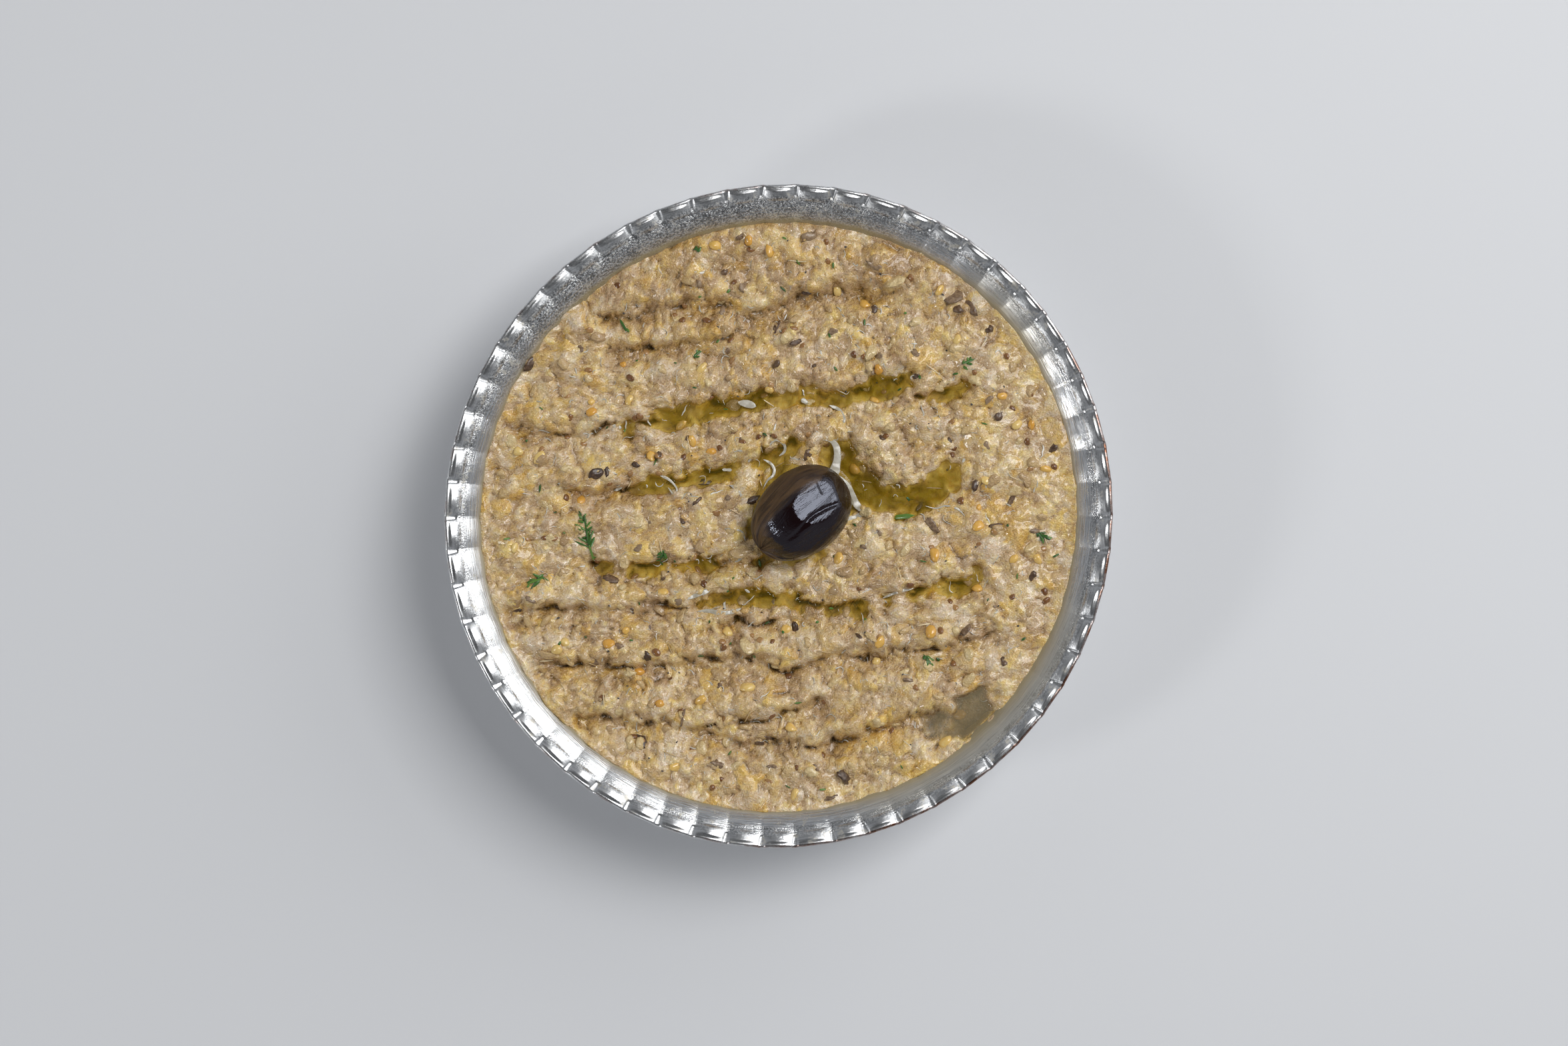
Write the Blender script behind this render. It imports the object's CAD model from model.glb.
# %% [markdown]
# # Baba ganoush in a bowl of tinned copper
#
# A small serving bowl is filled almost to its rim with baba ganoush, the dip of roasted aubergine.
# The dip has been raked into furrows with a spoon, olive oil stands in the furrows, and one
# wrinkled black olive sits in the middle. This lesson builds the bowl, the dip, the oil, the olive
# and everything that is strewn in them, each as a surface worked out with numpy, and gives each a
# finish made of shader nodes.
#
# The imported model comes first. It is the frame that everything else has to fit.

# %% Load the frame
import math

import bpy
import numpy as np
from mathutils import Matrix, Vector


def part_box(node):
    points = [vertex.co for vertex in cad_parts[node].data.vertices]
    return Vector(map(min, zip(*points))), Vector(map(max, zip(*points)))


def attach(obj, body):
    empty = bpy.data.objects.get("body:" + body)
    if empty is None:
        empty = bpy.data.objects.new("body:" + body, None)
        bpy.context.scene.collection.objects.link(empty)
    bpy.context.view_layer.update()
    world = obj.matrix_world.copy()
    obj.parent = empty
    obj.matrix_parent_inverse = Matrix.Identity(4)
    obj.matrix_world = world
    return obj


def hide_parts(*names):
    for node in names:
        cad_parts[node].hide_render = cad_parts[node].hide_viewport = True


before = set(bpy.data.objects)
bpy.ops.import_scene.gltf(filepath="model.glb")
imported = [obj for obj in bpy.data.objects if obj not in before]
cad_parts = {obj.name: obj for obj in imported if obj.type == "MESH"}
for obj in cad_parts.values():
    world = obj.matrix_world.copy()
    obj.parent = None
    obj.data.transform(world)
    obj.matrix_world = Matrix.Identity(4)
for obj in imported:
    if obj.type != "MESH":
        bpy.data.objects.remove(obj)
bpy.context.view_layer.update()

MM = 0.001
TAU = 2 * math.pi
print("nodes:", sorted(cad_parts))

# %% [markdown]
# ## Sizes
#
# All shapes below are worked out in millimetres and turned into metres when a mesh is made. The
# sizes that the bowl and the dip share come from the frame: how wide and how high the bowl is,
# and where the dip's highest ridge lies. The lip's arc repeats the numbers that the bowl was
# designed with.

# %% Read the sizes from the frame
bowl_high = np.array(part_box("bowl")[1]) / MM
dip_high = np.array(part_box("dip")[1]) / MM
olive_low, olive_high = (np.array(corner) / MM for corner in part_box("olive"))

WALL = 1.0  # thickness of the sheet
RIM_RADIUS = 75.0
RIM_HEIGHT = float(bowl_high[2]) - 0.65  # inner edge of the rim at a notch
LIP_RADIUS = 9.5  # the lip turns outwards on this arc
LIP_TURN = math.radians(69)  # how far it has turned from upright where the fluted band starts
BAND_WIDTH = 3.6  # the band goes on straight from there to the edge
FLOOR_RADIUS = 38.0
DIP_LEVEL = float(dip_high[2]) - 0.9  # where the dip meets the wall
OLIVE_PLACE = (olive_low + olive_high) / 2
print("rim height", round(RIM_HEIGHT, 2), "dip level", round(DIP_LEVEL, 2))
print("olive at", OLIVE_PLACE.round(2))

# %% [markdown]
# ## Chance that repeats
#
# Food is uneven, but the lesson has to give the same bowl each time it runs. So nothing is
# random: a whole-number hash gives each point of a lattice its own fixed number, and every
# wobble, lump and crumb is drawn from such numbers.
#
# `swell` is smooth noise. Each lattice point holds a slope in some direction, and between four
# points the slopes are blended with an easing curve.

# %% Smooth noise
def lattice(i, j, seed):
    """A fixed number from 0 to 1 for each whole-number point (i, j): multiply, mix the bits, keep 24."""
    n = (i.astype(np.int64) * 374761393 + j.astype(np.int64) * 668265263 + seed * 974634777) & 0xFFFFFFFF
    n = ((n ^ (n >> 13)) * 1274126177) & 0xFFFFFFFF
    n = ((n ^ (n >> 16)) * 2246822519) & 0xFFFFFFFF
    return ((n ^ (n >> 15)) & 0xFFFFFF) / float(0xFFFFFF)


def ease(t):
    """6t^5 - 15t^4 + 10t^3: from 0 to 1, flat at both ends."""
    return t * t * t * (t * (t * 6 - 15) + 10)


def step(low, high, value):
    """0 below low, 1 above high, and eased in between."""
    return ease(np.clip((value - low) / (high - low), 0, 1))


def swell(x, y, size, seed):
    """Noise of about -1 to 1 with waves about size long: blended slopes of the four nearest points."""
    u, v = x / size, y / size
    i, j = np.floor(u), np.floor(v)
    fu, fv = u - i, v - j
    corners = []
    for di, dj in ((0, 0), (1, 0), (0, 1), (1, 1)):
        angle = TAU * lattice(i + di, j + dj, seed)
        corners.append(np.cos(angle) * (fu - di) + np.sin(angle) * (fv - dj))
    eu, ev = ease(fu), ease(fv)
    near = corners[0] + (corners[1] - corners[0]) * eu
    far = corners[2] + (corners[3] - corners[2]) * eu
    return (near + (far - near) * ev) * 1.5


def swells(x, y, size, seed, count=3, keep=0.5):
    """swell added to itself count times, each time half as long and keep times as high."""
    return sum(keep ** k * swell(x, y, size / 2 ** k, seed + 17 * k) for k in range(count))

# %% [markdown]
# `pebbles` strews domes. The plane is cut into square cells, and each cell may hold one dome, with
# its own place, length, width and turn. A point takes the highest dome among its own cell and the
# eight round it, and remembers which dome that was, so that each can have its own colour.

# %% Strewn domes
def pebbles(x, y, cell, seed, chance, least, most, stretch=1.6):
    """(height, number) of the highest dome: radius times (1 - q^2) to the 0.7, q the oval distance."""
    i, j = np.floor(x / cell), np.floor(y / cell)
    top = np.zeros_like(x)
    number = np.zeros_like(x)
    for di in (-1, 0, 1):
        for dj in (-1, 0, 1):
            a, b = i + di, j + dj
            here = lattice(a, b, seed) < chance
            radius = least + (most - least) * lattice(a, b, seed + 1) ** 1.5
            long = 1 + (stretch - 1) * lattice(a, b, seed + 2)
            turn = math.pi * lattice(a, b, seed + 3)
            dx = x - (a + 0.5 + 0.8 * (lattice(a, b, seed + 4) - 0.5)) * cell
            dy = y - (b + 0.5 + 0.8 * (lattice(a, b, seed + 5) - 0.5)) * cell
            along = (dx * np.cos(turn) + dy * np.sin(turn)) / (radius * long)
            across = (dy * np.cos(turn) - dx * np.sin(turn)) / radius
            rise = np.clip(1 - along ** 2 - across ** 2, 0, 1) ** 0.7 * radius * here
            number = np.where(rise > top, lattice(a, b, seed + 6), number)
            top = np.maximum(top, rise)
    return top, number


print("noise at three points:", swell(np.array([0.3, 5.2, 9.1]), np.zeros(3), 2.0, 1).round(3))

# %% [markdown]
# ## Surfaces
#
# Every piece is a sheet of points: rows by columns. `sheet_faces` joins neighbours into
# four-sided faces, and can close the sheet round its columns. `capped_faces` also closes its two
# ends, each with a fan. `make_piece` puts points, faces and any number per point (an attribute,
# which a material can read) into a mesh.

# %% Mesh helpers
def sheet_faces(rows, columns, round_columns=False):
    """Four corner numbers for each face of a rows by columns sheet, counted row by row."""
    c = np.arange(columns if round_columns else columns - 1)
    r, c = np.meshgrid(np.arange(rows - 1), c, indexing="ij")
    r2, c2 = r + 1, (c + 1) % columns
    corners = (r * columns + c, r * columns + c2, r2 * columns + c2, r2 * columns + c)
    return np.stack(corners, -1).reshape(-1, 4)


def capped_faces(rows, columns, first_pole, last_pole):
    """The faces of a sheet closed round its columns, and two fans that join its ends to the poles."""
    ring = np.arange(columns)
    following = (ring + 1) % columns
    last = (rows - 1) * columns
    return [
        sheet_faces(rows, columns, round_columns=True),
        np.stack([ring * 0 + first_pole, following, ring], 1),
        np.stack([ring * 0 + last_pole, last + ring, last + following], 1),
    ]


def make_piece(name, points, groups, finish, attributes=None):
    """A mesh object from points in millimetres and groups of faces, riding on the only body."""
    mesh = bpy.data.meshes.new(name)
    corners = np.concatenate([group.ravel() for group in groups])
    sizes = np.concatenate([np.full(len(group), group.shape[1]) for group in groups])
    mesh.vertices.add(len(points))
    mesh.vertices.foreach_set("co", (np.asarray(points, float) * MM).astype(np.float32).ravel())
    mesh.loops.add(len(corners))
    mesh.loops.foreach_set("vertex_index", corners.astype(np.int32))
    mesh.polygons.add(len(sizes))
    mesh.polygons.foreach_set("loop_start", (np.cumsum(sizes) - sizes).astype(np.int32))
    mesh.update(calc_edges=True)
    mesh.validate()
    mesh.polygons.foreach_set("use_smooth", np.full(len(mesh.polygons), True))
    for label, values in (attributes or {}).items():
        layer = mesh.attributes.new(label, "FLOAT", "POINT")
        layer.data.foreach_set("value", np.asarray(values, np.float32).ravel())
    mesh.materials.append(finish)
    piece = bpy.data.objects.new(name, mesh)
    bpy.context.scene.collection.objects.link(piece)
    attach(piece, "root")
    triangles = int((sizes - 2).sum())
    print(f"{name}: {len(points)} points, {triangles} triangles")
    return piece

# %% [markdown]
# ## Shader arithmetic
#
# A finish is a sum of patterns, and it reads best as a sum. `Wire` wraps the output of a shader
# node, so that `1 - mask * 0.5` adds the two Math nodes it needs. `Finish` is one material; its
# `node` adds any other node from its type, its settings and its sockets.

# %% Wires and finishes
class Wire:
    """The output of a shader node, with arithmetic that adds Math nodes."""

    def __init__(self, finish, socket):
        self.finish = finish
        self.socket = socket

    def math(self, operation, *others, clamp=False):
        """A Math node on this wire and the others, which may be wires or numbers."""
        sockets = dict(enumerate((self, *others)))
        return self.finish.node("ShaderNodeMath", {"operation": operation, "use_clamp": clamp}, sockets)

    def __add__(self, other):
        return self.math("ADD", other)

    def __sub__(self, other):
        return self.math("SUBTRACT", other)

    def __rsub__(self, other):
        return self.math("MULTIPLY", -1.0) + other

    def __mul__(self, other):
        return self.math("MULTIPLY", other)

    def __truediv__(self, other):
        return self.math("DIVIDE", other)

    def __pow__(self, other):
        return self.math("POWER", other)

    __radd__ = __add__
    __rmul__ = __mul__

    def highest(self, other):
        """The larger of the two."""
        return self.math("MAXIMUM", other)

    def clamped(self):
        """Cut off below 0 and above 1."""
        return self.math("ADD", 0.0, clamp=True)

    def ramp(self, low, high):
        """0 at low, 1 at high and straight in between; low may be above high."""
        return ((self - low) / (high - low)).clamped()


class Finish:
    """One material: a Principled shader and the nodes that feed it."""

    def __init__(self, name, **constants):
        self.material = bpy.data.materials.new(name)
        self.material.use_nodes = True
        self.tree = self.material.node_tree
        self.shader = self.tree.nodes["Principled BSDF"]
        self.place = self.tree.nodes.new("ShaderNodeTexCoord").outputs["Object"]
        for label, value in constants.items():
            self.shader.inputs[label.replace("_", " ")].default_value = value

    def node(self, kind, settings=None, sockets=None, output=0):
        """Adds a node, sets its settings and then its sockets, and returns one output as a Wire."""
        made = self.tree.nodes.new(kind)
        for label, value in (settings or {}).items():
            if label == "stops":
                ramp = made.color_ramp
                while len(ramp.elements) < len(value):
                    ramp.elements.new(0.5)
                for element, (position, colour) in zip(ramp.elements, value):
                    element.position = position
                    element.color = (*colour, 1.0)
            else:
                setattr(made, label, value)
        for key, value in (sockets or {}).items():
            self.connect(made.inputs[key], value)
        return Wire(self, made.outputs[output])

    def connect(self, socket, value):
        """Links a wire or a socket, or sets a colour or a number."""
        if isinstance(value, Wire):
            self.tree.links.new(value.socket, socket)
        elif isinstance(value, bpy.types.NodeSocket):
            self.tree.links.new(value, socket)
        elif isinstance(value, tuple) and len(value) == 3 and socket.type == "RGBA":
            socket.default_value = (*value, 1.0)
        else:
            socket.default_value = value

    def feed(self, **sockets):
        """Links wires to the Principled shader's sockets, written with _ for a space."""
        for label, value in sockets.items():
            self.connect(self.shader.inputs[label.replace("_", " ")], value)

    def attribute(self, label):
        """The number that each point of the mesh keeps under that label."""
        return self.node("ShaderNodeAttribute", {"attribute_name": label}, output="Fac")

    def noise(self, size, detail=2.0, roughness=0.5, warp=0.0, at=None):
        """Smooth noise from 0 to 1 with waves of size millimetres."""
        sockets = {
            "Vector": at or self.place,
            "Scale": 1 / (size * MM),
            "Detail": detail,
            "Roughness": roughness,
            "Distortion": warp,
        }
        return self.node("ShaderNodeTexNoise", {}, sockets, "Fac")

    def mix(self, share, first, second, blend="MIX"):
        """first where share is 0 and second where it is 1, both colours."""
        settings = {"data_type": "RGBA", "blend_type": blend}
        return self.node("ShaderNodeMix", settings, {0: share, 6: first, 7: second}, 2)

    def bump(self, height, depth, strength=1.0, under=None):
        """A normal that height, from 0 to 1, raises by up to depth millimetres."""
        sockets = {"Height": height, "Distance": depth * MM, "Strength": strength}
        if under is not None:
            sockets["Normal"] = under
        return self.node("ShaderNodeBump", {}, sockets)

# %% [markdown]
# ## The bowl
#
# The real bowl is a copper sheet, turned to shape, tinned, and beaten over its lip into 58
# flutes: narrow notches with sharp edges, and between them panels that bulge inwards. It could
# be a Screw modifier with a displacement texture, but then a notch's sharp edge would fall
# between two rows of points. Here each column of points belongs to a notch or to a panel, so
# the edges follow the notches even where they widen towards the rim.
#
# First comes the profile that is turned: up the inside, over the edge and down the outside.

# %% The bowl's profile
EDGE_RADIUS = RIM_RADIUS - WALL * math.cos(LIP_TURN)
BAND_RADIUS = EDGE_RADIUS - BAND_WIDTH * math.sin(LIP_TURN)
WAIST_RADIUS = BAND_RADIUS - LIP_RADIUS * (1 - math.cos(LIP_TURN))
WAIST_HEIGHT = RIM_HEIGHT - BAND_WIDTH * math.cos(LIP_TURN) - LIP_RADIUS * math.sin(LIP_TURN)
EDGE_ROUND = 0.4  # the edge's rounding takes the last part of the band


def belly(turn, inset=0.0):
    """(radius, height) on a quarter ellipse: the floor's radius plus a cosine, the waist less a sine."""
    radius = FLOOR_RADIUS + (WAIST_RADIUS - FLOOR_RADIUS - inset) * np.cos(turn)
    height = WAIST_HEIGHT - (WAIST_HEIGHT - WALL - inset) * np.sin(turn)
    return radius, height


def lip(turn, inset=0.0):
    """(radius, height) on an arc, upright at the waist: a radius less a cosine, and a sine."""
    arc = LIP_RADIUS + inset
    return WAIST_RADIUS + LIP_RADIUS - arc * np.cos(turn), WAIST_HEIGHT + arc * np.sin(turn)


def band_line(share, inset=0.0):
    """(radius, height) on the straight band, from the lip's end (0) to the edge's rounding (1)."""
    along = share * (BAND_WIDTH - EDGE_ROUND)
    radius = BAND_RADIUS + along * math.sin(LIP_TURN) - inset * math.cos(LIP_TURN)
    height = RIM_HEIGHT - (BAND_WIDTH - along) * math.cos(LIP_TURN) + inset * math.sin(LIP_TURN)
    return radius, height


def rounded_edge(turn):
    """(radius, height) on a half circle as wide as the sheet, from inside (0) to outside (pi)."""
    radius, height = band_line(1.0, -WALL / 2)
    inward, outward = np.cos(turn) * WALL / 2, np.sin(turn) * WALL / 2
    radius = radius - math.cos(LIP_TURN) * inward + math.sin(LIP_TURN) * outward
    return radius, height + math.sin(LIP_TURN) * inward + math.cos(LIP_TURN) * outward


def bowl_profile():
    """Rows of radius, height, turn of the wall, share of the band, and 0 inside, 1 edge or 2 outside."""
    up = np.radians([90, 60, 30, 8])
    wall = np.radians(np.concatenate([[12, 24], np.linspace(33, 67.5, 14)]))
    band = np.linspace(0, 1, 17)
    over = np.radians(np.linspace(14, 166, 7))
    down_band = np.linspace(1, 0, 8)
    down_wall = np.radians(np.linspace(64, 0, 9))
    down = np.radians(np.linspace(6, 90, 17))
    flat = np.full
    parts = [
        (*belly(up), up, 0 * up, 0),
        (*lip(wall), wall, 0 * wall, 0),
        (*band_line(band), flat(17, LIP_TURN), band, 0),
        (*rounded_edge(over), flat(7, LIP_TURN), flat(7, 1.0), 1),
        (*band_line(down_band, -WALL), flat(8, LIP_TURN), down_band, 2),
        (*lip(down_wall, -WALL), down_wall, 0 * down_wall, 2),
        (*belly(down, -WALL), down, 0 * down, 2),
    ]
    rows = [np.stack([r, z, t, w, np.full(len(r), side)], 1) for r, z, t, w, side in parts]
    return np.concatenate(rows)


profile = bowl_profile()
print("profile rows:", len(profile))
print("widest", profile[:, 0].max().round(2), "highest", profile[:, 1].max().round(2))

# %% [markdown]
# The flutes come next. Across a panel the sheet stands up in an arch, a parabola that meets the
# notch with a sharp bend. Towards the edge of the rim the arch falls away again, so that the
# outer side of each panel catches the light as a thin crescent. No two flutes are quite alike.

# %% The flutes
FLUTES = 58
NOTCH_SHARE = 0.20  # the notch's part of one flute, at the edge
NOTCH_FOOT = 0.35  # how much of that width is left where the band starts
PANEL_RISE = 0.62
NOTCH_COLUMNS = np.array([-1, -0.75, -0.5, 0, 0.5, 0.75, 1])
PANEL_COLUMNS = np.array([0.03, 0.08, 0.16, 0.26, 0.36, 0.44, 0.5, 0.56, 0.64, 0.74, 0.84, 0.92, 0.97])


def flute_grid(band):
    """(angle, rise, crease): the columns share out each notch and panel, whatever its width."""
    flute = np.arange(FLUTES)
    shift = 0.10 * (lattice(flute, flute * 0, 31) - 0.5)
    width = NOTCH_SHARE / 2 * (0.85 + 0.3 * lattice(flute, flute * 0, 32))
    height = PANEL_RISE * (0.82 + 0.36 * lattice(flute, flute * 0, 33))
    lean = 0.09 * (lattice(flute, flute * 0, 34) - 0.5)
    band = band[:, None, None]
    middle = flute + shift + lean * (band[:, 0] - 0.5)
    half = width * (NOTCH_FOOT + (1 - NOTCH_FOOT) * band[:, 0])
    following = np.concatenate([middle[:, 1:], middle[:, :1] + FLUTES], 1)
    half_following = np.roll(half, -1, 1)
    notch = middle[..., None] + half[..., None] * NOTCH_COLUMNS
    start, end = (middle + half)[..., None], (following - half_following)[..., None]
    panel = start + (end - start) * PANEL_COLUMNS
    arch = 4 * PANEL_COLUMNS * (1 - PANEL_COLUMNS)
    strength = step(-0.3, 0.45, band) * (1 - 0.6 * step(0.72, 1.0, band))
    dent = -0.28 * (1 - NOTCH_COLUMNS ** 6) * step(0.25, 0.40, band)
    rise = np.concatenate([dent + 0 * notch, strength * arch * height[:, None] + 0 * panel], 2)
    panel_ends = step(0.07, 0.0, PANEL_COLUMNS) + step(0.95, 1.0, PANEL_COLUMNS)
    crease = np.concatenate([np.abs(NOTCH_COLUMNS) ** 3, panel_ends])
    crease = step(0.15, 0.4, band) * crease + 0 * rise
    angle = np.concatenate([notch, panel], 2) * TAU / FLUTES
    return (values.reshape(len(band), -1) for values in (angle, rise, crease))

# %% [markdown]
# A bowl beaten by hand isn't round. It strays from the circle by some tenths of a millimetre, and
# the hammer has left shallow facets on its outside: at each point the sheet follows the blow that
# fell nearest.

# %% Out of round, and the hammer's marks
def out_of_round(angle, height):
    """How far the wall strays outwards: cosines of 2, 3 and 4 turns, growing from foot to waist."""
    share = np.clip(height / WAIST_HEIGHT, 0, 1) ** 2
    oval = 0.62 * np.cos(2 * (angle - math.radians(33))) + 0.15 * np.cos(3 * (angle - math.radians(56)))
    return share * (oval + 0.08 * np.cos(4 * angle + 0.8))


def facing(angle, azimuth, least):
    """1 at an azimuth in degrees, and 0 where the cosine of the angle to it is below least."""
    return step(least, 1, np.cos(angle - math.radians(azimuth)))


def hammer_marks(angle, length, count=46, spacing=7.5):
    """Minus the squared distance to the nearest blow: 0 at its middle, and about -1 between blows."""
    u, v = angle / TAU * count, length / spacing
    i, j = np.floor(u), np.floor(v)
    nearest = np.full_like(u, 9.0)
    for di in (-1, 0, 1):
        for dj in (-1, 0, 1):
            a, b = (i + di) % count, j + dj
            du = u - i - di - 0.2 - 0.6 * lattice(a, b, 41)
            dv = v - b - 0.2 - 0.6 * lattice(a, b, 42)
            nearest = np.minimum(nearest, du ** 2 + dv ** 2)
    return -nearest

# %% The bowl's mesh
# azimuths in degrees: where the tin is grainiest, oiliest, smeared with dip and worn at the edge
GRAINY_SIDE, OILY_SIDE, SMEARED_SIDE, WORN_SIDE = 110, 315, 40, 330
HAMMER_DEPTH = 0.42


def make_bowl(finish):
    """The profile at every angle, pushed along the normal by flutes and hammer, with two poles."""
    radius, height, turn, band, side = profile.T
    angle, rise, crease = flute_grid(band)
    rows, columns = angle.shape
    climbs = np.hypot(np.diff(radius), np.diff(height))
    length = np.concatenate([[0], np.cumsum(climbs)])[:, None] + 0 * angle
    radius, height, turn, band, side = (column[:, None] + 0 * angle for column in profile.T)
    outside = (side == 2) * step(0.5, 0, band)
    x, y = radius * np.cos(angle), radius * np.sin(angle)
    coarse = 0.25 + 0.75 * facing(angle, GRAINY_SIDE, -0.1)
    push = rise + 0.05 * swells(x, y, 5.0, 51) * (height > DIP_LEVEL)
    push = push + 0.02 * coarse * swell(x, y, 0.9, 52)
    push = push + HAMMER_DEPTH * outside * hammer_marks(angle, length)
    wave = 0.14 * np.cos(2 * angle + 1) + 0.10 * np.cos(5 * angle + 2) + 0.07 * np.cos(9 * angle)
    r = radius - push * np.cos(turn) + out_of_round(angle, height)
    z = height + push * np.sin(turn) + wave * np.clip(height / RIM_HEIGHT, 0, 1) ** 3
    z = np.maximum(z, 0) * (side > 0) + z * (side == 0)
    points = np.stack([r * np.cos(angle), r * np.sin(angle), z], -1).reshape(-1, 3)
    points = np.concatenate([points, [[0, 0, WALL], [0, 0, 0]]])
    inside = side == 0
    smeared = 2.4 * facing(angle, OILY_SIDE, 0.78) + 1.4 * facing(angle, SMEARED_SIDE, 0.96)
    film = np.exp(-np.clip(height - DIP_LEVEL - 0.2, 0, 99) / (0.55 + smeared))
    film = film * inside * step(0.2, 0, band)
    worn = (side == 1) * (0.55 + 0.45 * facing(angle, WORN_SIDE, 0.0)) + outside * np.exp(-height / 0.8)
    upright = 1 - step(59, 66, np.degrees(turn))
    grainy = step(-0.35, 0.15, band - 0.25 * upright) * (1 - 0.75 * step(0.25, 0.6, band))
    below = facing(angle, GRAINY_SIDE, 0.35) * (band == 0) * inside
    grainy = np.maximum(grainy, below) * (0.4 + 0.6 * coarse)
    flute = np.maximum(step(0.0, 0.3, band), 0.85 * outside)
    attributes = {
        "length": length, "film": film, "worn": worn, "inside": inside,
        "grainy": grainy, "crease": crease, "flute": flute,
    }
    for label, values in attributes.items():
        attributes[label] = np.append(values.ravel(), [values[0, 0], values[-1, 0]])
    body = rows * columns
    outward = [group[:, ::-1] for group in capped_faces(rows, columns, body, body + 1)]
    return make_piece("bowl_of_tinned_copper", points, outward, finish, attributes)

# %% [markdown]
# ### Tinned copper
#
# The tin is wiped on hot, and it sets as a grey, grainy skin. Up close it is salt and pepper:
# each grain mirrors another part of the room. So most of its look is a fine bump under a metal,
# with only a little change in the colour. It was wiped by hand, so one side is grainier. The
# wiping leaves streaks round the wall, which need two numbers: where a point is, and how far up
# the wall it lies. On the flutes and on the outside they fade. Dried oil makes a dull film above
# the dip, which reaches higher in two smears, and on the edge the tin has worn through to copper.

# %% The finish of the bowl
def tinned_copper():
    """A metal whose grain, streaks, film and bare copper follow the numbers kept on the mesh."""
    tin = Finish("tinned_copper", Metallic=1.0)
    grain = tin.noise(0.42, detail=3.0, roughness=0.75)
    blotch = tin.noise(2.6, detail=2.0, roughness=0.6)
    length, grainy = tin.attribute("length"), tin.attribute("grainy")
    inside, flute = tin.attribute("inside"), tin.attribute("flute")
    split = tin.node("ShaderNodeSeparateXYZ", {}, {0: tin.place})
    x, y = split, Wire(tin, split.socket.node.outputs["Y"])
    along = {"X": x * 0.1, "Y": y * 0.1, "Z": length * 0.004}
    wiping = tin.node("ShaderNodeCombineXYZ", {}, along).socket
    streak = tin.noise(0.9, detail=2.0, roughness=0.6, at=wiping)
    film = (tin.attribute("film") * (0.6 + 0.8 * streak)).clamped()
    residue = (blotch * 0.6 + grain * 0.4).ramp(0.57, 0.62) * inside
    dull = (film * 0.9).highest(residue * 0.4)
    scratch = tin.noise(5.0, detail=5.0, roughness=0.75, warp=0.5).ramp(0.38, 0.62)
    copper = (tin.attribute("worn") * 1.4 + scratch * 0.8 - 1.1).clamped()
    pepper = (grain * 0.8 + blotch * 0.2).ramp(0.42, 0.58)
    bright = tin.mix(0.10 + pepper * 0.85, (0.11, 0.113, 0.12), (0.94, 0.95, 0.95))
    bright = tin.mix(tin.attribute("crease") * 0.75, bright, (0.07, 0.07, 0.075))
    wiped = tin.mix(streak.ramp(0.3, 0.7), (0.50, 0.51, 0.52), (0.90, 0.91, 0.92))
    colour = tin.mix(grainy, wiped, bright)
    colour = tin.mix(dull, colour, (0.40, 0.33, 0.18))
    colour = tin.mix(copper, colour, (0.22, 0.10, 0.06))
    under = tin.bump(grain * 0.6 + blotch * 0.4, 0.20, 0.12 + grainy * 0.88)
    tin.feed(
        Base_Color=colour,
        Metallic=1 - dull * 0.75,
        Roughness=0.13 + blotch * 0.12 + dull * 0.25 + flute * 0.10,
        Normal=tin.bump(streak, 0.12, 0.8 - flute * 0.72, under=under),
    )
    return tin.material


bowl = make_bowl(tinned_copper())
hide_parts("bowl")

# %% [markdown]
# ## The dip
#
# Baba ganoush is a mash, not a liquid: it keeps the ridges that the back of a spoon leaves, and
# it is full of soft lumps, seeds and threads. A sculpted mesh could hold that, and so could
# displacement from textures. Here the surface is one function of x and y, a height in
# millimetres, because the oil, the seeds and the herbs all have to ask it how high it is.
#
# A furrow follows a bent line. Each point needs its distance to that line, with a sign for the
# side, and how far along the line it is.

# %% Distance to a bent line
def beside(x, y, line):
    """(distance, share): to the line's nearest point, positive on its left, and how far along it is."""
    points = np.array(line, float)
    steps = np.diff(points, axis=0)
    lengths = np.hypot(*steps.T)
    starts = np.concatenate([[0], np.cumsum(lengths)])
    near = np.full(x.shape, np.inf)
    side = np.ones(x.shape)
    share = np.zeros(x.shape)
    for (px, py), (sx, sy), length, start in zip(points, steps, lengths, starts):
        t = np.clip(((x - px) * sx + (y - py) * sy) / length ** 2, 0, 1)
        dx, dy = x - px - t * sx, y - py - t * sy
        distance = np.hypot(dx, dy)
        nearer = distance < near
        near = np.where(nearer, distance, near)
        side = np.where(nearer, np.where(sx * dy - sy * dx < 0, -1, 1), side)
        share = np.where(nearer, (start + t * length) / starts[-1], share)
    return near * side, share


def oval(x, y, middle, half_length, half_width, turn):
    """1 on an ellipse, less inside and more outside: the length of the turned and squeezed offset."""
    c, s = math.cos(math.radians(turn)), math.sin(math.radians(turn))
    dx, dy = x - middle[0], y - middle[1]
    return np.hypot((dx * c + dy * s) / half_length, (dy * c - dx * s) / half_width)

# %% [markdown]
# The spoon went from left to right and was pressed in with its near edge. That makes each furrow a
# step: its far side, the one to the north, is steep and torn, and its near side rises gently
# again to the next ridge. Each furrow has its line, its depth and the widths of its two sides.

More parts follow.
